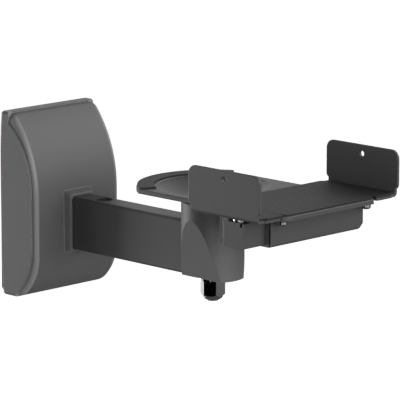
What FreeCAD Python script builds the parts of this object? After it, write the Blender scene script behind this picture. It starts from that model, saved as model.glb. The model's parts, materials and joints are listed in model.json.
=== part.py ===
import FreeCAD, Part
import math
import os

from FreeCAD import Vector

# Speaker wall bracket, in millimetres.
# Origin: centre of the wall plate's back face. +X out of the wall, +Y along the wall, +Z up.

# Arm: a rectangular steel tube standing on its narrow side
ARM_WIDTH = 25.0
ARM_HEIGHT = 50.0
ARM_WALL = 2.0
ARM_CORNER = 3.0
ARM_AXIS_Z = -18.0
CABLE_HOLE_X = 82.0
CABLE_HOLE_R = 8.75

# Wall plate, welded round the arm
WALL_PLATE_WIDTH = 92.0
WALL_PLATE_HEIGHT = 156.0
WALL_PLATE_T = 3.0
WALL_PLATE_CORNER = 8.0
WALL_HOLE_SPAN_Y = 68.0
WALL_HOLE_SPAN_Z = 128.0
WALL_HOLE_R = 3.5
WELD_LEG = 3.0

# Moulded cover over the wall plate: a frame and a raised front panel, each with its own side curve
COVER_WIDTH = 108.5
COVER_HEIGHT = 174.8
COVER_WALL = 2.4
COVER_BACK_CORNER = 3.5
PANEL_FRONT = 46.5
PANEL_TOP_ARC_R = 111.5
PANEL_TOP_ARC_Z = 8.0
PANEL_LOW_ARC_R = 49.3
PANEL_LOW_ARC_Z = -44.4
PANEL_SIDE_GAP = 1.4
PANEL_END_GAP = 2.0
PANEL_CORNER = 7.0
PANEL_EDGE_R = 4.0
FRAME_FRONT = 41.5
FRAME_TOP_ARC_R = 80.0
FRAME_TOP_ARC_Z = 13.0
FRAME_LOW_ARC_R = 58.0
FRAME_LOW_ARC_Z = -38.0
TOP_LIP_DEPTH = 10.3
LOW_LIP_DEPTH = 17.5
COLLAR_FRONT = 53.0
COLLAR_ROOT = 45.0
COLLAR_BASE = (-18.0, -46.5, 18.0, 13.4)
COLLAR_RIM = (-14.9, -43.8, 14.9, 9.4)
COLLAR_CORNER = 2.0
COLLAR_EDGE_R = 0.8
ARM_SLIDE_GAP = 0.4
RIB_T = 2.5
RIB_BACK = 1.0
RIB_FRONT = 9.0
RIB_GAP = 0.3
RIB_PLACE = 0.3

# Knuckle and the pivot through it
PIVOT_X = 224.5
KNUCKLE_R = 28.5
KNUCKLE_BOTTOM = -43.2
KNUCKLE_TOP = 26.2
KNUCKLE_WALL = 4.5
KNUCKLE_FLOOR = 6.0
KNUCKLE_LAND = 25.4
FLAT_TOP_Z = 11.3
FLAT_LOW_Y = 14.8
BOSS_R = 12.0
WEB_HALF_T = 2.0
BOLT_R = 6.0
PIVOT_FIT = 0.05
WASHER_FIT = 0.2

# Turntable: a pressed plate with a round dish over the knuckle, and its two pads
FRICTION_WASHER_R = 26.0
FRICTION_WASHER_T = 0.8
PLATE_T = 4.2
PLATE_TOP = 40.1
PLATE_ARC_R = 68.4
PLATE_HALF_WIDTH = 59.3
PLATE_END_X = 369.8
PLATE_CORNER = 10.0
PLATE_EDGE_R = 1.0
DISH_R = 51.0
DISH_FLOOR_R = 27.0
DISH_BEND_R = 8.0
DISH_LIP_DEPTH = 0.8
DISH_LIP_RUN = 1.4
DISH_LIP_R = 2.0
PLATE_BORE_GAP = 0.3
PAD_T = 1.6
PAD_INSET = 0.7
REAR_PAD_INNER_R = 52.6
REAR_PAD_HALF_ANGLE = 62.0
FRONT_PAD_X = 283.5

# Pivot fasteners
HEAD_WASHER_R = 12.0
HEAD_WASHER_T = 2.0
HEAD_AF = 19.0
HEAD_H = 7.5
HEAD_CHAMFER = 1.2
HEX_TURN_IN = 0.2
HEX_MARGIN = 0.1
BOLT_TIP = 1.0
BOLT_STICK_OUT = 1.2
NUT_AF = 20.0
NUT_HEX_H = 14.6
NUT_CHAMFER = 1.6
NUT_COLLAR_H = 3.6
NUT_COLLAR_INSET = 0.7
NUT_DOME_DRAFT = 1.0
NUT_DOME_R = 3.0
NUT_LIP = 0.9
RING_T = 1.9
NUT_WASHER_R = 13.8
NUT_WASHER_T = 2.3

# Slide housing under the plate, with a guide in each mouth
HOUSING_LOW_X = 291.4
HOUSING_HIGH_X = 352.5
HOUSING_HALF_LENGTH = 58.5
HOUSING_BOTTOM = 10.7
HOUSING_T = 1.2
HOUSING_BEND_R = 2.5
TAB_LENGTH = 12.5
TAB_LOW_REACH = 11.0
TAB_HIGH_REACH = 13.0
FAR_CHAMFER = 5.3
SCREW_LOW_OFFSET = 5.8
SCREW_HIGH_OFFSET = 8.5
SCREW_Y = 53.0
SCREW_R = 2.0
SCREW_HEAD_R = 4.2
SCREW_HEAD_H = 4.2
SCREW_SLOT_HALF = 2.0
SCREW_SLOT_T = 0.8
SCREW_SLOT_DEPTH = 1.2
SCREW_END_GAP = 0.3
GUIDE_DEPTH = 10.0
GUIDE_LOW_X = 293.1
GUIDE_HIGH_X = 349.4
GUIDE_CORNER = 1.0
GUIDE_TOP_GAP = 0.1
SLIDE_GAP = 0.15

# The two telescoping clamps: a bar, a spacer, a bracket and a rivet each
BAR_WIDTH = 24.0
BAR_HEIGHT = 22.4
BAR_WALL = 2.0
BAR_CORNER = 0.8
NEAR_BAR_X = 333.0
FAR_BAR_X = 308.5
BAR_OUTER_END = 84.0
BAR_LENGTH = 122.0
SEAT_RIB_X = (2.5, 5.6)
SEAT_RIB_LENGTH = 20.0
END_NOTCH_R = 1.7
END_NOTCH_OFFSET = 3.3
END_NOTCH_DEPTH = 2.2
END_NOTCH_LENGTH = 6.0
BRACKET_LOW_X = 282.5
BRACKET_HIGH_X = 368.2
BRACKET_OUTER_Y = 88.6
BRACKET_INNER_END = 60.3
BRACKET_T = 2.5
BRACKET_TOP = 78.8
BRACKET_LEG_TOP = 39.75
BRACKET_CORNER = 8.0
BRACKET_BEND_R = 4.0
BRACKET_EDGE_R = 0.6
LEG_CORNER = 5.0
LEG_PAD_T = 1.25
LEG_PAD_GAP = 0.5
WAIST_INSET = 1.2
WAIST_Z = 47.0
FOLD_NOTCH = 2.8
FOLD_NOTCH_LENGTH = 9.5
FOLD_NOTCH_TOP = 45.0
STEP_RUN = 1.5
SPEAKER_HOLE_R = 2.75
SPEAKER_HOLE_Z = 70.7
SPACER_R = 6.0
SPACER_Y = 77.0
RIVET_R = 2.5
RIVET_HOLE_R = 2.6
RIVET_HEAD_R = 4.5
RIVET_HEAD_H = 2.0
RIVET_HEAD_ROUND = 1.5
RIVET_END_GAP = 0.1
EDGE_BREAK = 1.0

# Levels and places worked out from the driving dimensions
ARM_TOP = ARM_AXIS_Z + ARM_HEIGHT / 2
ARM_BOTTOM = ARM_AXIS_Z - ARM_HEIGHT / 2
ARM_END_X = PIVOT_X - KNUCKLE_LAND
PANEL_CURVE = (PANEL_FRONT, (PANEL_TOP_ARC_R, PANEL_TOP_ARC_Z, 0),
               (PANEL_LOW_ARC_R, PANEL_LOW_ARC_Z, 0))
FRAME_CURVE = (FRAME_FRONT, (FRAME_TOP_ARC_R, FRAME_TOP_ARC_Z, TOP_LIP_DEPTH),
               (FRAME_LOW_ARC_R, FRAME_LOW_ARC_Z, LOW_LIP_DEPTH))
DISH_UNDER = KNUCKLE_TOP + FRICTION_WASHER_T
DISH_FLOOR = DISH_UNDER + PLATE_T
PLATE_UNDER = PLATE_TOP - PLATE_T
PAD_TOP = PLATE_TOP + PAD_T
NUT_TOP = KNUCKLE_BOTTOM - NUT_WASHER_T
NUT_HEX_LOW = NUT_TOP - NUT_HEX_H
NUT_COLLAR_LOW = NUT_HEX_LOW - NUT_COLLAR_H
WEB_TOP = HOUSING_BOTTOM + HOUSING_T
TAB_UNDER = PLATE_UNDER - HOUSING_T
BAR_BOTTOM = WEB_TOP + SLIDE_GAP
BAR_TOP = BAR_BOTTOM + BAR_HEIGHT
BRACKET_LEG_UNDER = BRACKET_LEG_TOP - BRACKET_T
SCREW_PLACES = [(x, y) for x in (HOUSING_LOW_X - SCREW_LOW_OFFSET, HOUSING_HIGH_X + SCREW_HIGH_OFFSET)
                for y in (-SCREW_Y, SCREW_Y)]

# Cutting tools reach this far past the faces that they cut
PAST = 1.0


def outline(points, radii, place):
    """Closed flat outline through corner points; each corner is rounded by its own radius."""
    starts, middles, ends = [], [], []
    for index, (u, v) in enumerate(points):
        corner = Vector(u, v, 0)
        back = Vector(*points[index - 1], 0) - corner
        ahead = Vector(*points[(index + 1) % len(points)], 0) - corner
        back.normalize()
        ahead.normalize()
        radius = radii[index]
        half = back.getAngle(ahead) / 2
        reach = radius / math.tan(half)
        inward = back + ahead
        if radius:
            inward.normalize()
        starts.append(corner + back * reach)
        middles.append(corner + inward * (radius / math.sin(half) - radius) if radius else None)
        ends.append(corner + ahead * reach)
    edges = []
    for index in range(len(points)):
        if middles[index] is not None:
            arc = Part.Arc(place(starts[index]), place(middles[index]), place(ends[index]))
            edges.append(arc.toShape())
        following = starts[(index + 1) % len(points)]
        if (following - ends[index]).Length > 1e-6:
            edges.append(Part.makeLine(place(ends[index]), place(following)))
    return Part.Face(Part.Wire(edges))


def prism_x(points, radii, low, high):
    """Outline in Y and Z, extruded along X."""
    face = outline(points, radii, lambda p: Vector(low, p.x, p.y))
    return face.extrude(Vector(high - low, 0, 0))


def prism_y(points, radii, low, high):
    """Outline in X and Z, extruded along Y."""
    face = outline(points, radii, lambda p: Vector(p.x, low, p.y))
    return face.extrude(Vector(0, high - low, 0))


def prism_z(points, radii, low, high):
    """Outline in X and Y, extruded along Z."""
    face = outline(points, radii, lambda p: Vector(p.x, p.y, low))
    return face.extrude(Vector(0, 0, high - low))


def rectangle(low_u, low_v, high_u, high_v):
    return [(low_u, low_v), (high_u, low_v), (high_u, high_v), (low_u, high_v)]


def block(low, high):
    size = [b - a for a, b in zip(low, high)]
    return Part.makeBox(*size, Vector(*low))


def post(radius, low, high, x=PIVOT_X, y=0.0):
    """Upright cylinder between two levels."""
    return Part.makeCylinder(radius, high - low, Vector(x, y, low))


def pin(radius, x, z, low, high):
    """Level cylinder along Y."""
    return Part.makeCylinder(radius, high - low, Vector(x, low, z), Vector(0, 1, 0))


def washer(outer, inner, low, high, x=PIVOT_X, y=0.0):
    return post(outer, low, high, x, y).cut(post(inner, low - PAST, high + PAST, x, y))


def turned(points, radii, x=PIVOT_X, y=0.0):
    """Section in radius and Z, revolved about an upright axis."""
    section = outline(points, radii, lambda p: Vector(x + p.x, y, p.y))
    return section.revolve(Vector(x, y, 0), Vector(0, 0, 1), 360)


def hexagon(across_flats, low, high, corner_chamfer):
    """Hexagonal prism on the pivot, its corners turned off at the lower end; two corners lie on Y."""
    reach = across_flats / math.sqrt(3)
    turns = [math.radians(60 * corner) for corner in range(6)]
    corners = [(PIVOT_X + reach * math.sin(turn), reach * math.cos(turn)) for turn in turns]
    prism = prism_z(corners, [0] * 6, low, high)
    inner, outer = across_flats / 2 - HEX_TURN_IN, reach + HEX_MARGIN
    profile = [(0, low), (inner, low), (outer, low + corner_chamfer), (outer, high), (0, high)]
    return prism.common(turned(profile, [0] * 5))


def joined(shapes):
    return shapes[0].multiFuse(shapes[1:]).removeSplitter()


def mirrored(shape):
    """The same piece on the other side of the arm."""
    return shape.mirror(Vector(0, 0, 0), Vector(0, 1, 0))


# Wall side

def arm_face(growth, x):
    """Section of the arm, grown outwards on every side."""
    half = ARM_WIDTH / 2 + growth
    corners = rectangle(-half, ARM_BOTTOM - growth, half, ARM_TOP + growth)
    return outline(corners, [ARM_CORNER + growth] * 4, lambda p: Vector(x, p.x, p.y))


def arm_prism(growth, low, high):
    return arm_face(growth, low).extrude(Vector(high - low, 0, 0))


def make_arm_tube():
    tube = arm_prism(0, 0, ARM_END_X).cut(arm_prism(-ARM_WALL, -PAST, ARM_END_X + PAST))
    return tube.cut(post(CABLE_HOLE_R, ARM_AXIS_Z, ARM_TOP + PAST, CABLE_HOLE_X))


def make_wall_plate():
    half_y, half_z = WALL_PLATE_WIDTH / 2, WALL_PLATE_HEIGHT / 2
    plate = prism_x(rectangle(-half_y, -half_z, half_y, half_z), [WALL_PLATE_CORNER] * 4, 0, WALL_PLATE_T)
    weld_front = WALL_PLATE_T + WELD_LEG
    weld = Part.makeLoft([arm_face(WELD_LEG, WALL_PLATE_T).OuterWire, arm_face(0, weld_front).OuterWire],
                         True, True)
    plate = joined([plate, weld]).cut(arm_prism(0, -PAST, weld_front + PAST))
    for y in (-WALL_HOLE_SPAN_Y / 2, WALL_HOLE_SPAN_Y / 2):
        for z in (-WALL_HOLE_SPAN_Z / 2, WALL_HOLE_SPAN_Z / 2):
            start, length = Vector(-PAST, y, z), WALL_PLATE_T + 2 * PAST
            plate = plate.cut(Part.makeCylinder(WALL_HOLE_R, length, start, Vector(1, 0, 0)))
    return plate


def cover_profile(curve, inset, reach_z, half_width):
    """Side profile of the cover, set in from its outer curve and extruded along Y."""
    front, top, low = curve
    edges, ends = [], []
    for side, (radius, arc_z, lip) in ((1, top), (-1, low)):
        centre_x = front - radius
        inner_r = radius - inset
        at_reach = math.asin((reach_z - side * arc_z) / inner_r)
        at_lip = math.acos((lip - inset - centre_x) / inner_r)
        full = min(at_reach, at_lip)
        start, middle, end = [Vector(centre_x + inner_r * math.cos(turn), -half_width,
                                     arc_z + side * inner_r * math.sin(turn))
                              for turn in (0, full / 2, full)]
        edges.append(Part.Arc(start, middle, end).toShape())
        corner = Vector(end.x, -half_width, side * reach_z)
        if at_lip < at_reach:
            edges.append(Part.makeLine(end, corner))
        ends += [start, corner]
    top_start, top_corner, low_start, low_corner = ends
    top_back = Vector(0, -half_width, reach_z)
    low_back = Vector(0, -half_width, -reach_z)
    for start, end in ((low_start, top_start), (top_corner, top_back), (top_back, low_back),
                       (low_back, low_corner)):
        edges.append(Part.makeLine(start, end))
    wire = Part.Wire(Part.sortEdges(edges)[0])
    return Part.Face(wire).extrude(Vector(0, 2 * half_width, 0))


def front_panel():
    """The raised curved front, rounded along its whole edge."""
    half_y = COVER_WIDTH / 2 - PANEL_SIDE_GAP
    half_z = COVER_HEIGHT / 2 - PANEL_END_GAP
    panel = cover_profile(PANEL_CURVE, 0, half_z, half_y)
    window = prism_x(rectangle(-half_y, -half_z, half_y, half_z), [PANEL_CORNER] * 4,
                     -PAST, PANEL_FRONT + PAST)
    panel = panel.common(window)
    rim = [edge for edge in panel.Edges if is_front_rim(edge, half_y, half_z)]
    return panel.makeFillet(PANEL_EDGE_R, rim)


def is_front_rim(edge, half_y, half_z):
    """True for the edges where the curved front meets the panel's sides and ends."""
    middle = edge.valueAt((edge.FirstParameter + edge.LastParameter) / 2)
    start, end = edge.Vertexes[0].Point, edge.Vertexes[-1].Point
    on_back = middle.x < 0.01
    across_front = abs(middle.y) < half_y - PANEL_CORNER and abs(middle.z) < half_z - PANEL_CORNER
    along_x = abs(start.x - end.x) > PAST and abs(start.z - end.z) < 0.01
    return not (on_back or across_front or along_x)


def collar():
    """Drafted boss round the arm, from inside the cover to its front rim."""
    wires = []
    for x, corners in ((COLLAR_ROOT, COLLAR_BASE), (COLLAR_FRONT, COLLAR_RIM)):
        face = outline(rectangle(*corners), [COLLAR_CORNER] * 4, lambda p, x=x: Vector(x, p.x, p.y))
        wires.append(face.OuterWire)
    boss = Part.makeLoft(wires, True, True)
    rim = [edge for edge in boss.Edges if all(vertex.X > COLLAR_FRONT - 0.01 for vertex in edge.Vertexes)]
    return boss.makeFillet(COLLAR_EDGE_R, rim)


def locating_ribs():
    """Short ribs inside the cover that close on the wall plate's four sides."""
    plate_y, plate_z = WALL_PLATE_WIDTH / 2 + RIB_GAP, WALL_PLATE_HEIGHT / 2 + RIB_GAP
    root_y, root_z = (COVER_WIDTH - COVER_WALL) / 2, (COVER_HEIGHT - COVER_WALL) / 2
    ribs = []
    for side in (-1, 1):
        for place in (-RIB_PLACE, RIB_PLACE):
            low, high = sorted((side * plate_y, side * root_y))
            middle = place * WALL_PLATE_HEIGHT
            ribs.append(block((RIB_BACK, low, middle - RIB_T / 2), (RIB_FRONT, high, middle + RIB_T / 2)))
            low, high = sorted((side * plate_z, side * root_z))
            middle = place * WALL_PLATE_WIDTH
            ribs.append(block((RIB_BACK, middle - RIB_T / 2, low), (RIB_FRONT, middle + RIB_T / 2, high)))
    return ribs


def make_wall_cover():
    half_y, half_z = COVER_WIDTH / 2, COVER_HEIGHT / 2
    frame = cover_profile(FRAME_CURVE, 0, half_z, half_y)
    back_edges = [edge for edge in frame.Edges
                  if abs(edge.CenterOfMass.x) < 0.01 and abs(abs(edge.CenterOfMass.z) - half_z) < 0.01]
    frame = frame.makeFillet(COVER_BACK_CORNER, back_edges)
    outer = joined([frame, front_panel(), collar()])
    in_frame = cover_profile(FRAME_CURVE, COVER_WALL, half_z - COVER_WALL, half_y - COVER_WALL)
    panel_y, panel_z = half_y - PANEL_SIDE_GAP - COVER_WALL, half_z - PANEL_END_GAP - COVER_WALL
    in_panel = cover_profile(PANEL_CURVE, COVER_WALL, panel_z, panel_y)
    cavity = joined([in_frame, in_panel])
    shell = outer.cut(cavity).cut(cavity.translated(Vector(-PAST, 0, 0)))
    shell = joined([shell] + locating_ribs())
    return shell.cut(arm_prism(ARM_SLIDE_GAP, 0, COLLAR_FRONT + PAST))


def slanted_flat(offset):
    """What the slanted side faces take off the knuckle on +Y, moved inwards by an offset."""
    slope = (KNUCKLE_R - FLAT_LOW_Y) / (FLAT_TOP_Z - KNUCKLE_BOTTOM)
    rise = KNUCKLE_R
    high_y, high_z = KNUCKLE_R - offset + slope * rise, FLAT_TOP_Z + rise
    low_y, low_z = FLAT_LOW_Y - offset - slope * PAST, KNUCKLE_BOTTOM - PAST
    far_y = 2 * KNUCKLE_R
    points = [(low_y, low_z), (far_y, low_z), (far_y, high_z), (high_y, high_z)]
    return prism_x(points, [0] * 4, PIVOT_X - far_y, PIVOT_X + far_y)


def make_knuckle():
    """Casting welded to the arm: a round post with slanted flats, cored from above round a boss."""
    wide, top = 2 * KNUCKLE_R, KNUCKLE_TOP + PAST
    body = post(KNUCKLE_R, KNUCKLE_BOTTOM, KNUCKLE_TOP)
    body = body.cut(block((PIVOT_X - wide, -wide, KNUCKLE_BOTTOM - PAST), (ARM_END_X, wide, top)))
    core = post(KNUCKLE_R - KNUCKLE_WALL, KNUCKLE_BOTTOM + KNUCKLE_FLOOR, top)
    core = core.cut(block((PIVOT_X - wide, -wide, KNUCKLE_BOTTOM),
                          (ARM_END_X + KNUCKLE_WALL, wide, top + PAST)))
    core = core.cut(post(BOSS_R, KNUCKLE_BOTTOM, top + PAST))
    web = block((PIVOT_X - wide, -WEB_HALF_T, KNUCKLE_BOTTOM), (PIVOT_X + wide, WEB_HALF_T, top + PAST))
    core = core.cut(web)
    for flat, inner_flat in ((slanted_flat(0), slanted_flat(KNUCKLE_WALL)),
                             (mirrored(slanted_flat(0)), mirrored(slanted_flat(KNUCKLE_WALL)))):
        body = body.cut(flat)
        core = core.cut(inner_flat)
    body = body.cut(core)
    return body.cut(post(BOLT_R + PIVOT_FIT, KNUCKLE_BOTTOM - PAST, top))


# Turntable

def plate_outline(inset):
    """Top view of the turntable: a wide arc over the knuckle running into straight sides."""
    half, radius = PLATE_HALF_WIDTH - inset, PLATE_ARC_R - inset
    end_x = PLATE_END_X - inset
    arc_start_x = PIVOT_X - math.sqrt(radius ** 2 - half ** 2)
    corner = PLATE_CORNER - inset
    cut = corner * (1 - math.sqrt(0.5))
    start, finish = Vector(arc_start_x, half, 0), Vector(arc_start_x, -half, 0)
    near_side, near_end = Vector(end_x - corner, -half, 0), Vector(end_x, corner - half, 0)
    far_end, far_side = Vector(end_x, half - corner, 0), Vector(end_x - corner, half, 0)
    return Part.Face(Part.Wire([
        Part.Arc(start, Vector(PIVOT_X - radius, 0, 0), finish).toShape(),
        Part.makeLine(finish, near_side),
        Part.Arc(near_side, Vector(end_x - cut, cut - half, 0), near_end).toShape(),
        Part.makeLine(near_end, far_end),
        Part.Arc(far_end, Vector(end_x - cut, half - cut, 0), far_side).toShape(),
        Part.makeLine(far_side, start),
    ]))


def plate_slab(inset, low, high):
    face = plate_outline(inset)
    face.translate(Vector(0, 0, low))
    return face.extrude(Vector(0, 0, high - low))


def make_turntable_plate():
    slab = plate_slab(0, PLATE_UNDER, PLATE_TOP)
    rim = [edge for edge in slab.Edges if abs(edge.CenterOfMass.z - PLATE_TOP) < 0.01]
    slab = slab.makeFillet(PLATE_EDGE_R, rim)
    outer_r = DISH_R + PLATE_EDGE_R
    under = turned([(0, DISH_UNDER), (DISH_FLOOR_R, DISH_UNDER), (outer_r, PLATE_UNDER),
                    (outer_r, PLATE_UNDER + PAST), (0, PLATE_UNDER + PAST)],
                   [0, DISH_BEND_R, 0, 0, 0])
    hollow = turned([(0, DISH_FLOOR), (DISH_FLOOR_R, DISH_FLOOR), (DISH_R, PLATE_TOP - DISH_LIP_DEPTH),
                     (DISH_R + DISH_LIP_RUN, PLATE_TOP + PAST), (0, PLATE_TOP + PAST)],
                    [0, DISH_BEND_R, DISH_LIP_R, 0, 0])
    plate = joined([slab, under]).cut(hollow)
    plate = plate.cut(post(BOLT_R + PLATE_BORE_GAP, DISH_UNDER - PAST, PLATE_TOP))
    for x, y in SCREW_PLACES:
        plate = plate.cut(post(SCREW_R + PIVOT_FIT, PLATE_UNDER - PAST, PLATE_TOP + PAST, x, y))
    return plate


def make_rear_pad():
    pad = plate_slab(PAD_INSET, PLATE_TOP, PAD_TOP)
    pad = pad.cut(post(REAR_PAD_INNER_R, PLATE_TOP - PAST, PAD_TOP + PAST))
    reach = 2 * PLATE_ARC_R
    turn = math.radians(180 - REAR_PAD_HALF_ANGLE)
    end_x, end_y = PIVOT_X + reach * math.cos(turn), reach * math.sin(turn)
    back_x = PIVOT_X - reach
    sector = [(PIVOT_X, 0), (end_x, end_y), (back_x, reach), (back_x, -reach), (end_x, -end_y)]
    return pad.common(prism_z(sector, [0] * 5, PLATE_TOP - PAST, PAD_TOP + PAST))


def make_front_pad():
    low = (FRONT_PAD_X, -PLATE_ARC_R, PLATE_TOP - PAST)
    high = (PLATE_END_X + PAST, PLATE_ARC_R, PAD_TOP + PAST)
    return plate_slab(PAD_INSET, PLATE_TOP, PAD_TOP).common(block(low, high))


def make_pivot_bolt():
    head_low = DISH_FLOOR + HEAD_WASHER_T
    head = hexagon(HEAD_AF, -head_low - HEAD_H, -head_low, HEAD_CHAMFER)
    head = head.mirror(Vector(0, 0, 0), Vector(0, 0, 1))
    end = NUT_COLLAR_LOW - BOLT_STICK_OUT
    shank = turned([(0, end), (BOLT_R - BOLT_TIP, end), (BOLT_R, end + BOLT_TIP), (BOLT_R, head_low + PAST),
                    (0, head_low + PAST)], [0] * 5)
    return joined([head, shank])


def make_lock_nut():
    """Hexagon with a rolled collar that holds the locking ring."""
    collar_r = NUT_AF / 2 - NUT_COLLAR_INSET
    dome = turned([(0, NUT_COLLAR_LOW), (collar_r - NUT_DOME_DRAFT, NUT_COLLAR_LOW), (collar_r, NUT_HEX_LOW),
                   (collar_r, NUT_HEX_LOW + PAST), (0, NUT_HEX_LOW + PAST)],
                  [0, NUT_DOME_R, 0, 0, 0])
    nut = joined([hexagon(NUT_AF, NUT_HEX_LOW, NUT_TOP, NUT_CHAMFER), dome])
    ring_seat = post(BOLT_R + RING_T, NUT_COLLAR_LOW + NUT_LIP, NUT_HEX_LOW)
    return nut.cut(ring_seat).cut(post(BOLT_R + PIVOT_FIT, NUT_COLLAR_LOW - PAST, NUT_TOP + PAST))


def make_locking_ring():
    return washer(BOLT_R + RING_T, BOLT_R + PIVOT_FIT, NUT_COLLAR_LOW + NUT_LIP, NUT_HEX_LOW)


# Slide housing

def make_slide_housing():
    """Folded channel, open to the plate above, with screw tabs turned out at its four corners."""
    low_x, high_x = HOUSING_LOW_X, HOUSING_HIGH_X
    length = HOUSING_HALF_LENGTH
    bend = HOUSING_BEND_R
    outer = prism_y(rectangle(low_x, HOUSING_BOTTOM, high_x, PLATE_UNDER), [bend, bend, 0, 0],
                    -length, length)
    inner = prism_y(rectangle(low_x + HOUSING_T, WEB_TOP, high_x - HOUSING_T, PLATE_UNDER + PAST),
                    [bend - HOUSING_T] * 2 + [0] * 2, -length - PAST, length + PAST)
    pieces = [outer.cut(inner)]
    for y in (-length, length - TAB_LENGTH):
        end = y + TAB_LENGTH
        pieces.append(block((high_x - HOUSING_T, y, TAB_UNDER), (high_x + TAB_HIGH_REACH, end, PLATE_UNDER)))
        pieces.append(block((low_x - TAB_LOW_REACH, y, TAB_UNDER), (low_x + HOUSING_T, end, PLATE_UNDER)))
    housing = joined(pieces)
    corner = [(length - FAR_CHAMFER, HOUSING_BOTTOM), (length - FAR_CHAMFER, HOUSING_BOTTOM - PAST),
              (length + PAST, HOUSING_BOTTOM - PAST), (length + PAST, HOUSING_BOTTOM + FAR_CHAMFER),
              (length, HOUSING_BOTTOM + FAR_CHAMFER)]
    housing = housing.cut(prism_x(corner, [0] * 5, low_x - PAST, high_x + PAST))
    for x, y in SCREW_PLACES:
        housing = housing.cut(post(SCREW_R + WASHER_FIT, TAB_UNDER - PAST, PLATE_UNDER + PAST, x, y))
    return housing


def make_guide(side, bar_x):
    """Nylon block in one mouth of the housing, with a slot that carries one bar."""
    low_y, high_y = sorted((side * HOUSING_HALF_LENGTH, side * (HOUSING_HALF_LENGTH - GUIDE_DEPTH)))
    corners = rectangle(GUIDE_LOW_X, WEB_TOP, GUIDE_HIGH_X, PLATE_UNDER - GUIDE_TOP_GAP)
    guide = prism_y(corners, [GUIDE_CORNER, 0, 0, 0], low_y, high_y)
    half = BAR_WIDTH / 2 + SLIDE_GAP
    guide = guide.cut(block((bar_x - half, low_y - PAST, WEB_TOP - PAST),
                            (bar_x + half, high_y + PAST, BAR_TOP + SLIDE_GAP)))
    if side > 0:
        guide = guide.cut(block((GUIDE_LOW_X - PAST, HOUSING_HALF_LENGTH - FAR_CHAMFER, HOUSING_BOTTOM),
                                (GUIDE_HIGH_X + PAST, high_y + PAST, HOUSING_BOTTOM + FAR_CHAMFER)))
    return guide


def make_housing_screws():
    """Four pan-head screws up through the housing's tabs into the plate."""
    low = TAB_UNDER - SCREW_HEAD_H
    half, thin = SCREW_SLOT_HALF, SCREW_SLOT_T / 2
    screws = []
    for x, y in SCREW_PLACES:
        head = turned([(0, low), (SCREW_HEAD_R, low), (SCREW_HEAD_R, TAB_UNDER), (0, TAB_UNDER)],
                      [0, SCREW_HEAD_R / 2, 0, 0], x, y)
        shank = post(SCREW_R, TAB_UNDER - PAST, PLATE_TOP - SCREW_END_GAP, x, y)
        screw = joined([head, shank])
        for reach_x, reach_y in ((half, thin), (thin, half)):
            screw = screw.cut(block((x - reach_x, y - reach_y, low - PAST),
                                    (x + reach_x, y + reach_y, low + SCREW_SLOT_DEPTH)))
        screws.append(screw)
    return Part.makeCompound(screws)


# Clamps, built on the near side (-Y) and mirrored for the far side

def make_bar(bar_x):
    """Square tube closed at its outer end, with a seat rib under the bracket and a notch in the end."""
    low_x, high_x = bar_x - BAR_WIDTH / 2, bar_x + BAR_WIDTH / 2
    outer_y = -BAR_OUTER_END
    inner_y = outer_y + BAR_LENGTH
    tube = prism_y(rectangle(low_x, BAR_BOTTOM, high_x, BAR_TOP), [BAR_CORNER] * 4, outer_y, inner_y)
    hollow = block((low_x + BAR_WALL, outer_y + BAR_WALL, BAR_BOTTOM + BAR_WALL),
                   (high_x - BAR_WALL, inner_y + PAST, BAR_TOP - BAR_WALL))
    seat = block((low_x + SEAT_RIB_X[0], outer_y, BAR_TOP - PAST),
                 (low_x + SEAT_RIB_X[1], outer_y + SEAT_RIB_LENGTH, BRACKET_LEG_UNDER))
    bar = joined([tube.cut(hollow), seat])
    notch_x, notch_z = high_x - END_NOTCH_OFFSET, BAR_TOP - END_NOTCH_DEPTH
    notch_end = outer_y + END_NOTCH_LENGTH
    bar = bar.cut(block((notch_x - END_NOTCH_R, outer_y - PAST, notch_z),
                        (notch_x + END_NOTCH_R, notch_end, BAR_TOP + PAST)))
    bar = bar.cut(pin(END_NOTCH_R, notch_x, notch_z, outer_y - PAST, notch_end))
    return bar.cut(post(RIVET_HOLE_R, BAR_TOP - BAR_WALL - PAST, BAR_TOP + PAST, bar_x, -SPACER_Y))


def leg_prism(inset, start_y, low, high):
    """Top view of a bracket's leg from the given Y inwards: narrow at the fold, then full width."""
    notch_end, inner_end = FOLD_NOTCH_LENGTH - BRACKET_OUTER_Y + inset, -BRACKET_INNER_END - inset
    low_x, high_x = BRACKET_LOW_X + inset, BRACKET_HIGH_X - inset
    notch_low, notch_high = low_x + FOLD_NOTCH, high_x - FOLD_NOTCH
    step_end = notch_end - STEP_RUN
    top = [(low_x, notch_end), (low_x, inner_end), (high_x, inner_end), (high_x, notch_end),
           (notch_high, step_end), (notch_high, start_y), (notch_low, start_y), (notch_low, step_end)]
    corner = LEG_CORNER - inset
    return prism_z(top, [EDGE_BREAK, corner, corner, EDGE_BREAK, EDGE_BREAK, 0, 0, EDGE_BREAK], low, high)


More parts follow.
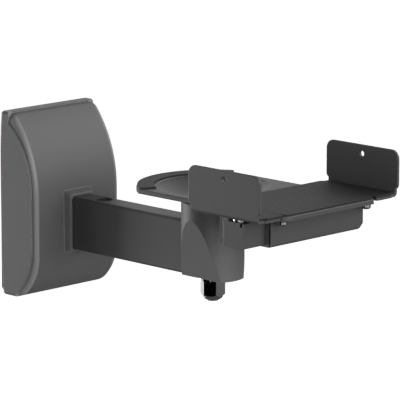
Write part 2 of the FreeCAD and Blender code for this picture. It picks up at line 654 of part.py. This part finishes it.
def make_bracket(bar_x):
    """Folded angle: an upright flange with a screw hole, and a leg level with the front pad."""
    outer, inner_end = -BRACKET_OUTER_Y, -BRACKET_INNER_END
    low_x, high_x = BRACKET_LOW_X, BRACKET_HIGH_X
    under = BRACKET_LEG_UNDER
    section = [(outer, BRACKET_TOP), (outer, under), (inner_end, under), (inner_end, BRACKET_LEG_TOP),
               (outer + BRACKET_T, BRACKET_LEG_TOP), (outer + BRACKET_T, BRACKET_TOP)]
    folded = prism_x(section, [0, BRACKET_BEND_R, 0, 0, BRACKET_BEND_R - BRACKET_T, 0], low_x, high_x)
    waist_low, waist_high = low_x + WAIST_INSET, high_x - WAIST_INSET
    front = [(waist_low, under - PAST), (waist_high, under - PAST), (waist_high, WAIST_Z - STEP_RUN),
             (high_x, WAIST_Z), (high_x, BRACKET_TOP), (low_x, BRACKET_TOP), (low_x, WAIST_Z),
             (waist_low, WAIST_Z - STEP_RUN)]
    front_radii = [0, 0, EDGE_BREAK, EDGE_BREAK, BRACKET_CORNER, BRACKET_CORNER, EDGE_BREAK, EDGE_BREAK]
    folded = folded.common(prism_y(front, front_radii, outer - PAST, inner_end + PAST))
    leg = leg_prism(0, outer - PAST, under - PAST, FOLD_NOTCH_TOP)
    upright = block((low_x - PAST, outer - PAST, FOLD_NOTCH_TOP),
                    (high_x + PAST, outer + 2 * BRACKET_T, BRACKET_TOP + PAST))
    folded = folded.common(joined([leg, upright]))
    rounded = [edge for edge in folded.Edges if on_flange_rim(edge, outer)]
    folded = folded.makeFillet(BRACKET_EDGE_R, rounded)
    hole = pin(SPEAKER_HOLE_R, (low_x + high_x) / 2, SPEAKER_HOLE_Z, outer - PAST, outer + BRACKET_T + PAST)
    rivet_hole = post(RIVET_R + PIVOT_FIT, under - PAST, BRACKET_LEG_TOP + PAST, bar_x, -SPACER_Y)
    return folded.cut(hole).cut(rivet_hole)


def make_leg_pad():
    """Sheet on the leg that the speaker stands on."""
    start_y = BRACKET_BEND_R + LEG_PAD_GAP - BRACKET_OUTER_Y
    return leg_prism(PAD_INSET, start_y, BRACKET_LEG_TOP, BRACKET_LEG_TOP + LEG_PAD_T)


def on_flange_rim(edge, outer):
    """True for the flange's outline above its waist, on its outer and inner faces."""
    points = [vertex.Point for vertex in edge.Vertexes]
    above = all(point.z > WAIST_Z for point in points)
    return above and any(all(abs(point.y - face_y) < 0.01 for point in points)
                         for face_y in (outer, outer + BRACKET_T))


def make_spacer(bar_x):
    return washer(SPACER_R, RIVET_HOLE_R, BAR_TOP, BRACKET_LEG_UNDER, bar_x, -SPACER_Y)


def make_rivet(bar_x):
    """Rivet that draws the leg, the spacer and the bar together, its head inside the bar."""
    seat = BAR_TOP - BAR_WALL
    low = seat - RIVET_HEAD_H
    head = turned([(0, low), (RIVET_HEAD_R, low), (RIVET_HEAD_R, seat), (0, seat)],
                  [0, RIVET_HEAD_ROUND, 0, 0], bar_x, -SPACER_Y)
    return joined([head, post(RIVET_R, seat - PAST, BRACKET_LEG_TOP - RIVET_END_GAP, bar_x, -SPACER_Y)])


def make_parts():
    parts = {
        "wall_plate": make_wall_plate(),
        "arm_tube": make_arm_tube(),
        "knuckle": make_knuckle(),
        "wall_cover": make_wall_cover(),
        "turntable_plate": make_turntable_plate(),
        "rear_pad": make_rear_pad(),
        "front_pad": make_front_pad(),
        "friction_washer": washer(FRICTION_WASHER_R, BOLT_R + WASHER_FIT, KNUCKLE_TOP, DISH_UNDER),
        "head_washer": washer(HEAD_WASHER_R, BOLT_R + WASHER_FIT, DISH_FLOOR, DISH_FLOOR + HEAD_WASHER_T),
        "pivot_bolt": make_pivot_bolt(),
        "nut_washer": washer(NUT_WASHER_R, BOLT_R + WASHER_FIT, NUT_TOP, KNUCKLE_BOTTOM),
        "lock_nut": make_lock_nut(),
        "locking_ring": make_locking_ring(),
        "slide_housing": make_slide_housing(),
        "near_guide": make_guide(-1, NEAR_BAR_X),
        "far_guide": make_guide(1, FAR_BAR_X),
        "housing_screws": make_housing_screws(),
    }
    for name, bar_x, place in (("near", NEAR_BAR_X, lambda shape: shape), ("far", FAR_BAR_X, mirrored)):
        parts[name + "_bracket"] = place(make_bracket(bar_x))
        parts[name + "_leg_pad"] = place(make_leg_pad())
        parts[name + "_bar"] = place(make_bar(bar_x))
        parts[name + "_spacer"] = place(make_spacer(bar_x))
        parts[name + "_rivet"] = place(make_rivet(bar_x))
    return parts


os.makedirs("parts", exist_ok=True)
for name, shape in make_parts().items():
    print(name, shape.isValid(), len(shape.Solids), round(shape.Volume / 1000, 2))
    shape.exportStep("parts/" + name + ".step")
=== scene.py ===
import json
import math

import bmesh
import bpy
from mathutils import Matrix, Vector


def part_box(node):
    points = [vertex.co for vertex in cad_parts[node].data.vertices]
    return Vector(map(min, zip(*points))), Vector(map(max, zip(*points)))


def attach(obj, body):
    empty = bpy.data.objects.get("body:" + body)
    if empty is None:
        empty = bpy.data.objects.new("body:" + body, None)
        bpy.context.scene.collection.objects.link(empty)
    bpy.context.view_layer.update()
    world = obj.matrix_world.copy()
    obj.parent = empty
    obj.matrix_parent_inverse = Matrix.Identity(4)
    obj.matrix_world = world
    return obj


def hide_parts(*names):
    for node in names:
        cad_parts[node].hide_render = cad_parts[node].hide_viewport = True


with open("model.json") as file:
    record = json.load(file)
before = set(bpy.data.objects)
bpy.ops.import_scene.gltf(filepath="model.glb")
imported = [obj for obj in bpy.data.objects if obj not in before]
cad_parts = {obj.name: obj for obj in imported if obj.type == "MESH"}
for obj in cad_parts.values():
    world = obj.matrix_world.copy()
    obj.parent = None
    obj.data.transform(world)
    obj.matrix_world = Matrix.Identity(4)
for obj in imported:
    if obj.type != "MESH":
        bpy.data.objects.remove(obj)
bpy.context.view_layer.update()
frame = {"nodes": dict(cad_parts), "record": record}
bpy.context.scene.view_settings.view_transform = "Standard"

# Lengths are in metres, and tones and levels run from 0, black, to 1, white.

# Camera: the photograph's direction and distance, azimuth from -Y towards +X
CAMERA_AZIMUTH = math.radians(45.04)
CAMERA_ELEVATION = math.radians(11.26)
CAMERA_TARGET = Vector((0.20822, 0.0, 0.02431))
CAMERA_DISTANCE = 2.91043
CAMERA_CLIP = (0.05, 100.0)
# Lens and sensor, in millimetres
CAMERA_LENS = 291.74
CAMERA_SENSOR = 36.0

# Studio: lamps and cards stand round its centre, azimuth from +X towards +Y, in degrees
STUDIO_CENTRE = Vector((0.2, 0.0, 0.0))

# Lamps: azimuth, elevation, radiance
SOFTBOX_SIZE = 1.0
SOFTBOX_DISTANCE = 3.0
SOFTBOXES = {
    "left_side_box": (200, -12, 9.0),
    "left_low_box": (180, -12, 6.4),
    "left_high_box": (200, 8, 4.0),
    "left_back_box": (160, 28, 2.5),
    "camera_box": (312, 2, 3.0),
    "front_left_box": (320, 8, 2.2),
    "front_box": (340, 8, 6.8),
    "front_high_box": (340, 28, 4.5),
    "front_right_box": (0, 8, 7.5),
    "front_right_high_box": (0, 28, 2.6),
    "right_box": (20, 8, 4.0),
    "right_high_box": (20, 28, 2.65),
    "far_right_box": (60, 28, 3.95),
    "far_right_top_box": (60, 52, 2.45),
    "far_box": (80, 28, 5.45),
}

# Cards: azimuth, elevation, width, height, level
FLAG_DISTANCE = 4.0
FLAGS = {
    "left_flag": (266, -5, 4.4, 4.6, 0.0),
    "right_flag": (40, -15, 4.6, 2.9, 0.2),
    "far_flag": (100, -15, 4.6, 2.9, 0.0),
    "front_flag": (330, -15, 4.6, 2.9, 0.03),
    "top_flag": (0, 90, 6.7, 6.7, 0.0),
    "under_flag": (0, -90, 11.0, 11.0, 0.1),
}

# Floor: its glow is a level at a distance from the middle, near and far
FLOOR_Z = -1.5
FLOOR_SIZE = 60.0
FLOOR_TONE = 0.8
FLOOR_ROUGHNESS = 0.9
FLOOR_GLOW_NEAR = (1.0, 0.8)
FLOOR_GLOW_FAR = (5.0, 1.0)

# Finishes: the part of its range that a noise pattern fills
NOISE_LOW = 0.3
NOISE_HIGH = 0.7
# How far the rounded normal agrees with the true one, on an open face and on a sharp edge
OPEN_FACE = 0.998
SHARP_EDGE = 0.93
EDGE_SAMPLES = 6
# Cell count per metre of the foam
FOAM_CELLS = 900.0
# Darker and lighter colour of the plated pieces
ZINC = ((0.4, 0.41, 0.42, 1.0), (0.48, 0.49, 0.5, 1.0))
CHROME = ((0.46, 0.47, 0.48, 1.0), (0.53, 0.54, 0.55, 1.0))

# Mesh work: how near a point lies to a plane it is on, how near two points are that count
# as one, and how far flat faces may lean from each other
ON_PLANE = 1e-5
SAME_POINT = 1e-6
FLAT = math.radians(0.5)

# Wall cover, with the rounding of its back that the frame already has
COVER_HALF_WIDTH = 0.05425
COVER_HALF_HEIGHT = 0.0874
COVER_CORNER_R = 0.0034
COVER_CORNER_STEPS = 6
COVER_BACK_R = 0.0035
COVER_BACK_MARGIN = 0.0001
# Band of painted highlight along the panel's sides, also made smoother there: where it starts and
# ends, from the cover's middle
BAND_START = (0.0478, 0.0495)
BAND_END = (0.0526, 0.0532)
# Colour of the painted highlight in the band
PAINTED_HIGHLIGHT_TONE = 0.2
BAND_SMOOTHER = -0.12

# Sheets on the bracket legs, against the plain ones of the frame
LEG_SHEET_CORNER = 0.0043
LEG_SHEET_SHARPER = 0.2
LEG_SHEET_REACH = 0.0022
LEG_SHEET_RISE = 0.00065


def grey(level):
    return (level, level, level, 1.0)


def feed(tree, socket, value):
    """Gives a socket a plain value, or links it to the output that carries one."""
    if isinstance(value, bpy.types.NodeSocket):
        tree.links.new(value, socket)
    else:
        socket.default_value = value


def add_node(tree, kind, inputs=None, **settings):
    """A node with its settings and its inputs given by value or by link."""
    made = tree.nodes.new(kind)
    for key, value in settings.items():
        setattr(made, key, value)
    for key, value in (inputs or {}).items():
        feed(tree, made.inputs[key], value)
    return made


def make_camera():
    data = bpy.data.cameras.new("camera")
    camera = bpy.data.objects.new("camera", data)
    bpy.context.scene.collection.objects.link(camera)
    flat = math.cos(CAMERA_ELEVATION)
    back = Vector((math.sin(CAMERA_AZIMUTH) * flat, -math.cos(CAMERA_AZIMUTH) * flat,
                   math.sin(CAMERA_ELEVATION)))
    camera.location = CAMERA_TARGET + back * CAMERA_DISTANCE
    camera.rotation_mode = "QUATERNION"
    camera.rotation_quaternion = (-back).to_track_quat("-Z", "Y")
    data.lens = CAMERA_LENS
    data.sensor_width = CAMERA_SENSOR
    data.clip_start, data.clip_end = CAMERA_CLIP
    bpy.context.scene.camera = camera


class Finish:
    """A node material: a principled shader and the nodes that feed it."""

    def __init__(self, name):
        self.material = bpy.data.materials.new(name)
        self.material.use_nodes = True
        self.tree = self.material.node_tree
        self.shader = self.tree.nodes["Principled BSDF"]
        self.place = self.tree.nodes.new("ShaderNodeTexCoord").outputs["Object"]

    def node(self, kind, inputs=None, **settings):
        return add_node(self.tree, kind, inputs, **settings)

    def noise(self, size, detail):
        """Soft grain whose blotches are about the given size."""
        made = self.node("ShaderNodeTexNoise",
                         {"Vector": self.place, "Scale": 1.0 / size, "Detail": detail})
        return made.outputs["Fac"]

    def spread(self, value, low, high, start=NOISE_LOW, stop=NOISE_HIGH):
        """A pattern from start to stop turned into numbers from low to high."""
        made = self.node("ShaderNodeMapRange", {
            "Value": value, "From Min": start, "From Max": stop, "To Min": low, "To Max": high})
        return made.outputs["Result"]

    def shades(self, value, low, high):
        """A 0 to 1 pattern turned into a colour between two colours."""
        made = self.node("ShaderNodeMix", {"Factor": value, "A": low, "B": high},
                         data_type="RGBA")
        return made.outputs["Result"]

    def total(self, first, second, share):
        """First pattern plus a share of the second."""
        made = self.node("ShaderNodeMath", {0: second, 1: share, 2: first},
                         operation="MULTIPLY_ADD")
        return made.outputs["Value"]

    def rounding(self, radius):
        """Normals that turn over a sharp edge as if it were rounded to the radius."""
        made = self.node("ShaderNodeBevel", {"Radius": radius}, samples=EDGE_SAMPLES)
        return made.outputs["Normal"]

    def painted_edge_highlight(self, radius):
        """Mask of the painted highlight along edges: 1 along sharp edges, fading to 0 on open
        faces.
        """
        rounded = self.rounding(radius)
        true = self.node("ShaderNodeNewGeometry").outputs["Normal"]
        agreement = self.node("ShaderNodeVectorMath", {0: rounded, 1: true},
                              operation="DOT_PRODUCT").outputs["Value"]
        return self.spread(agreement, 0.0, 1.0, OPEN_FACE, SHARP_EDGE)

    def relief(self, pattern, depth, rounding=None):
        """Surface grain of the given depth, over edges of the given rounding."""
        made = self.node("ShaderNodeBump", {"Height": pattern, "Distance": depth})
        if rounding:
            feed(self.tree, made.inputs["Normal"], self.rounding(rounding))
        feed(self.tree, self.shader.inputs["Normal"], made.outputs["Normal"])

    def set(self, **values):
        for key, value in values.items():
            feed(self.tree, self.shader.inputs[key.replace("_", " ")], value)


def powder_coat():
    """Baked powder on steel: matt black, a fine orange peel, and a painted highlight along the
    edges.
    """
    coat = Finish("powder_coat")
    grain = coat.noise(size=0.0006, detail=3.0)
    peel = coat.noise(size=0.0026, detail=2.0)
    faces = coat.shades(peel, grey(0.041), grey(0.047))
    # Paler along sharp edges: a painted highlight
    coat.set(Base_Color=coat.shades(coat.painted_edge_highlight(radius=0.0004), faces, grey(0.07)),
             Roughness=coat.spread(grain, low=0.44, high=0.54))
    coat.shader.inputs["Specular IOR Level"].default_value = 0.375
    coat.relief(coat.total(peel, grain, share=0.5), depth=0.00004, rounding=0.0005)
    return coat.material


def cast_coat():
    """The same paint over a sand-finished casting: lighter and rougher, with a painted highlight
    along the edges.
    """
    coat = Finish("cast_coat")
    grain = coat.noise(size=0.0009, detail=4.0)
    skin = coat.noise(size=0.004, detail=2.0)
    faces = coat.shades(skin, grey(0.075), grey(0.083))
    # Paler along sharp edges: a painted highlight
    coat.set(Base_Color=coat.shades(coat.painted_edge_highlight(radius=0.0005), faces, grey(0.13)),
             Roughness=coat.spread(grain, low=0.5, high=0.6))
    coat.shader.inputs["Specular IOR Level"].default_value = 0.54
    coat.relief(coat.total(skin, grain, share=0.6), depth=0.00007, rounding=0.0004)
    return coat.material


def painted_highlight_band(plastic):
    """1 along the rounded sides of the cover's panel, where a highlight is painted and the
    surface is smoother, else 0.
    """
    across = plastic.node("ShaderNodeSeparateXYZ", {"Vector": plastic.place}).outputs["Y"]
    out = plastic.node("ShaderNodeMath", {0: across}, operation="ABSOLUTE").outputs["Value"]
    start = plastic.spread(out, 0.0, 1.0, *BAND_START)
    end = plastic.spread(out, 1.0, 0.0, *BAND_END)
    return plastic.node("ShaderNodeMath", {0: start, 1: end},
                        operation="MULTIPLY").outputs["Value"]


def cover_plastic():
    """Moulded cover with a spark-eroded texture, smoother along the rounded sides of its panel,
    with a painted highlight there and along its sharp edges.
    """
    plastic = Finish("cover_plastic")
    grain = plastic.noise(size=0.0005, detail=2.0)
    flow = plastic.noise(size=0.03, detail=2.0)
    faces = plastic.shades(flow, grey(0.09), grey(0.098))
    band = painted_highlight_band(plastic)
    matt = plastic.spread(grain, low=0.46, high=0.54)
    # Paler band along the panel's rounded sides: a painted highlight
    highlighted_faces = plastic.shades(band, faces, grey(PAINTED_HIGHLIGHT_TONE))
    # Paler along sharp edges: a painted highlight
    plastic.set(Base_Color=plastic.shades(plastic.painted_edge_highlight(radius=0.0013), highlighted_faces, grey(0.2)),
                Roughness=plastic.total(matt, band, share=BAND_SMOOTHER))
    plastic.shader.inputs["Specular IOR Level"].default_value = 0.24
    plastic.relief(grain, depth=0.00003, rounding=0.0009)
    return plastic.material


def pad_sheet():
    """Dense foam rubber sheet with a fine leathery skin."""
    sheet = Finish("pad_sheet")
    cells = sheet.node("ShaderNodeTexVoronoi",
                       {"Vector": sheet.place, "Scale": FOAM_CELLS}).outputs["Distance"]
    skin = sheet.noise(size=0.003, detail=3.0)
    sheet.set(Base_Color=sheet.shades(skin, grey(0.005), grey(0.007)),
              Roughness=sheet.spread(skin, low=0.62, high=0.72))
    sheet.shader.inputs["Specular IOR Level"].default_value = 0.32
    sheet.relief(sheet.total(cells, skin, share=0.5), depth=0.00006)
    return sheet.material


def guide_nylon():
    """Black nylon of the guide blocks, moulded with a slight grain."""
    nylon = Finish("guide_nylon")
    grain = nylon.noise(size=0.0008, detail=3.0)
    nylon.set(Base_Color=nylon.shades(grain, grey(0.05), grey(0.06)),
              Roughness=nylon.spread(grain, low=0.4, high=0.5))
    nylon.relief(grain, depth=0.00002)
    return nylon.material


def bright_metal(name, colours, smooth, matt):
    """Plated steel: clear reflections, with faint haze from handling."""
    metal = Finish(name)
    haze = metal.noise(size=0.0035, detail=3.0)
    metal.set(Base_Color=metal.shades(haze, *colours), Metallic=1.0,
              Roughness=metal.spread(haze, low=smooth, high=matt))
    metal.relief(metal.noise(size=0.0008, detail=2.0), depth=0.000001)
    return metal.material


FINISHES = {
    "powder_coat": powder_coat(),
    "cast_coat": cast_coat(),
    "cover_plastic": cover_plastic(),
    "pad_sheet": pad_sheet(),
    "guide_nylon": guide_nylon(),
    "bright_zinc": bright_metal("bright_zinc", ZINC, smooth=0.2, matt=0.28),
    "bright_chrome": bright_metal("bright_chrome", CHROME, smooth=0.06, matt=0.12),
}


def select_points(piece, chosen):
    """Selects the points of an open mesh that pass the test."""
    bpy.ops.mesh.select_mode(type="VERT")
    bpy.ops.mesh.select_all(action="DESELECT")
    mesh = bmesh.from_edit_mesh(piece.data)
    for point in mesh.verts:
        point.select_set(chosen(point.co))
    mesh.select_flush_mode()
    bmesh.update_edit_mesh(piece.data)


def select_edges(piece, chosen):
    """Selects the edges of an open mesh whose two ends pass the test."""
    bpy.ops.mesh.select_all(action="DESELECT")
    mesh = bmesh.from_edit_mesh(piece.data)
    for edge in mesh.edges:
        if chosen(edge.verts[0].co, edge.verts[1].co):
            edge.select_set(True)
    bmesh.update_edit_mesh(piece.data)


def joined_copy(node, name, chosen):
    """A copy of a CAD node's mesh, open in edit mode and joined where points pass the test."""
    piece = bpy.data.objects.new(name, frame["nodes"][node].data.copy())
    bpy.context.scene.collection.objects.link(piece)
    bpy.ops.object.select_all(action="DESELECT")
    piece.select_set(True)
    bpy.context.view_layer.objects.active = piece
    bpy.ops.object.mode_set(mode="EDIT")
    select_points(piece, chosen)
    bpy.ops.mesh.remove_doubles(threshold=SAME_POINT)
    return piece


def flatten(piece, chosen):
    """Joins the triangles of flat faces between the points that pass the test."""
    select_points(piece, chosen)
    bpy.ops.mesh.dissolve_limited(angle_limit=FLAT)


def finish_piece(piece, body, node, finish):
    """Closes an open piece, dresses it, and puts it in the node's place on its body."""
    bpy.ops.object.mode_set(mode="OBJECT")
    piece.data.materials.clear()
    piece.data.materials.append(FINISHES[finish])
    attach(piece, body)
    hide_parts(node)


def on_cover_side(point):
    return abs(point.y) > COVER_HALF_WIDTH - ON_PLANE


def on_cover_end(point):
    """True on the flat of the cover's top or bottom, in front of its rounded back."""
    return (abs(point.z) > COVER_HALF_HEIGHT - ON_PLANE
            and point.x > COVER_BACK_R - COVER_BACK_MARGIN)


def is_cover_corner(a, b):
    """True for the edges where a side meets the top or bottom, round the back as well."""
    on_side = min(abs(a.y), abs(b.y)) > COVER_HALF_WIDTH - ON_PLANE
    at_end = (min(abs(a.z), abs(b.z))
              > COVER_HALF_HEIGHT - COVER_BACK_R - COVER_BACK_MARGIN)
    return on_side and at_end and a.y * b.y > 0.0 and a.z * b.z > 0.0


def moulded_cover():
    """The wall cover with the soft corners of its moulding."""
    cover = joined_copy("wall_cover", "moulded_cover",
                        lambda point: on_cover_side(point) or on_cover_end(point))
    flatten(cover, on_cover_side)
    flatten(cover, on_cover_end)
    select_edges(cover, is_cover_corner)
    bpy.ops.mesh.bevel(offset=COVER_CORNER_R, segments=COVER_CORNER_STEPS, affect="EDGES",
                       clamp_overlap=False, harden_normals=True)
    finish_piece(cover, "cover", "wall_cover", "cover_plastic")


def leg_sheet(side, sign):
    """Sheet on a bracket's leg, level with the front pad and reaching it, its corners squarer."""
    sheet = joined_copy(side + "_leg_pad", side + "_leg_sheet", lambda point: True)
    bpy.ops.mesh.dissolve_limited(angle_limit=FLAT)
    low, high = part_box(side + "_leg_pad")
    end = low[1] if sign > 0 else high[1]
    start = end + sign * LEG_SHEET_CORNER
    for corner_x, inwards in ((low[0], 1.0), (high[0], -1.0)):
        select_points(sheet, lambda point: (start - point.y) * sign > -ON_PLANE
                      and (point.x - corner_x) * inwards < LEG_SHEET_CORNER + ON_PLANE)
        bpy.ops.transform.resize(value=(LEG_SHEET_SHARPER, LEG_SHEET_SHARPER, 1.0),
                                 center_override=(corner_x, end, low[2]))
    select_points(sheet, lambda point: (start - point.y) * sign > ON_PLANE)
    bpy.ops.transform.translate(value=(0.0, -sign * LEG_SHEET_REACH, 0.0))
    select_points(sheet, lambda point: point.z > high[2] - ON_PLANE)
    bpy.ops.transform.translate(value=(0.0, 0.0, LEG_SHEET_RISE))
    finish_piece(sheet, side + "_clamp", side + "_leg_pad", "pad_sheet")


def finish_nodes():
    """Each CAD node wears its own slot's finish."""
    for row in frame["record"]["subparts"]:
        mesh = frame["nodes"][row["node"]].data
        mesh.materials.clear()
        mesh.materials.append(FINISHES[row["material_slot"]])


def seen_directly(tree):
    """1 where the camera, a reflection or something clear looks at the surface, else 0."""
    path = tree.nodes.new("ShaderNodeLightPath").outputs
    both = add_node(tree, "ShaderNodeMath",
                    {0: path["Is Camera Ray"], 1: path["Is Glossy Ray"]}, operation="ADD")
    every = add_node(tree, "ShaderNodeMath",
                     {0: both.outputs[0], 1: path["Is Transmission Ray"]},
                     operation="ADD", use_clamp=True)
    return every.outputs[0]


def make_world():
    """White to look at, and no light of its own on matt surfaces."""
    world = bpy.data.worlds.new("studio")
    world.use_nodes = True
    light = world.node_tree.nodes["Background"]
    light.inputs["Color"].default_value = grey(1.0)
    world.node_tree.links.new(seen_directly(world.node_tree), light.inputs["Strength"])
    bpy.context.scene.world = world


def floor_glow(tree):
    """Glow of the floor: a little under white near the middle and white further out."""
    place = tree.nodes.new("ShaderNodeTexCoord").outputs["Object"]
    away = add_node(tree, "ShaderNodeVectorMath", {0: place},
                    operation="LENGTH").outputs["Value"]
    level = add_node(tree, "ShaderNodeMapRange", {
        "Value": away, "From Min": FLOOR_GLOW_NEAR[0], "From Max": FLOOR_GLOW_FAR[0],
        "To Min": FLOOR_GLOW_NEAR[1], "To Max": FLOOR_GLOW_FAR[1]}).outputs["Result"]
    return add_node(tree, "ShaderNodeMath", {0: seen_directly(tree), 1: level},
                    operation="MULTIPLY").outputs[0]


def make_floor():
    """White floor that keeps the object's shadow and is clear from below."""
    bpy.ops.mesh.primitive_plane_add(size=FLOOR_SIZE, location=(0.0, 0.0, FLOOR_Z))
    floor = bpy.context.object
    floor.name = "floor"
    material = bpy.data.materials.new("floor_paint")
    material.use_nodes = True
    tree = material.node_tree
    shader = tree.nodes["Principled BSDF"]
    shader.inputs["Base Color"].default_value = grey(FLOOR_TONE)
    shader.inputs["Roughness"].default_value = FLOOR_ROUGHNESS
    shader.inputs["Emission Color"].default_value = grey(1.0)
    tree.links.new(floor_glow(tree), shader.inputs["Emission Strength"])
    from_below = tree.nodes.new("ShaderNodeNewGeometry").outputs["Backfacing"]
    solid = add_node(tree, "ShaderNodeMath", {0: 1.0, 1: from_below}, operation="SUBTRACT")
    tree.links.new(solid.outputs[0], shader.inputs["Alpha"])
    floor.data.materials.append(material)
    floor.visible_glossy = False


def studio_place(azimuth, elevation, distance):
    """Where a lamp or card stands, and the turn that faces it to the studio's centre."""
    turn, rise = math.radians(azimuth), math.radians(elevation)
    flat = math.cos(rise)
    away = Vector((math.cos(turn) * flat, math.sin(turn) * flat, math.sin(rise)))
    return STUDIO_CENTRE + away * distance, (-away).to_track_quat("-Z", "Y")


def softbox(name, azimuth, elevation, radiance):
    """Square lamp that looks as bright as the given level, wherever it stands."""
    data = bpy.data.lights.new(name, "AREA")
    data.shape = "SQUARE"
    data.size = SOFTBOX_SIZE
    data.energy = radiance * math.pi * SOFTBOX_SIZE ** 2
    lamp = bpy.data.objects.new(name, data)
    lamp.rotation_mode = "QUATERNION"
    lamp.location, lamp.rotation_quaternion = studio_place(azimuth, elevation, SOFTBOX_DISTANCE)
    lamp.visible_camera = False
    bpy.context.scene.collection.objects.link(lamp)


def flag(name, azimuth, elevation, width, height, level):
    """Card of a dark level that only shows in reflections."""
    bpy.ops.mesh.primitive_plane_add(size=1.0)
    card = bpy.context.object
    card.name = name
    card.rotation_mode = "QUATERNION"
    card.location, card.rotation_quaternion = studio_place(azimuth, elevation, FLAG_DISTANCE)
    card.scale = (width, height, 1.0)
    card.visible_camera = card.visible_diffuse = card.visible_shadow = False
    material = bpy.data.materials.new(name)
    material.use_nodes = True
    shader = material.node_tree.nodes["Principled BSDF"]
    shader.inputs["Base Color"].default_value = grey(0.0)
    shader.inputs["Specular IOR Level"].default_value = 0.0
    shader.inputs["Emission Color"].default_value = grey(level)
    shader.inputs["Emission Strength"].default_value = 1.0
    card.data.materials.append(material)


make_camera()
make_world()
make_floor()
for name, (azimuth, elevation, radiance) in SOFTBOXES.items():
    softbox(name, azimuth, elevation, radiance)
for name, (azimuth, elevation, width, height, level) in FLAGS.items():
    flag(name, azimuth, elevation, width, height, level)
finish_nodes()
moulded_cover()
leg_sheet("near", -1.0)
leg_sheet("far", 1.0)
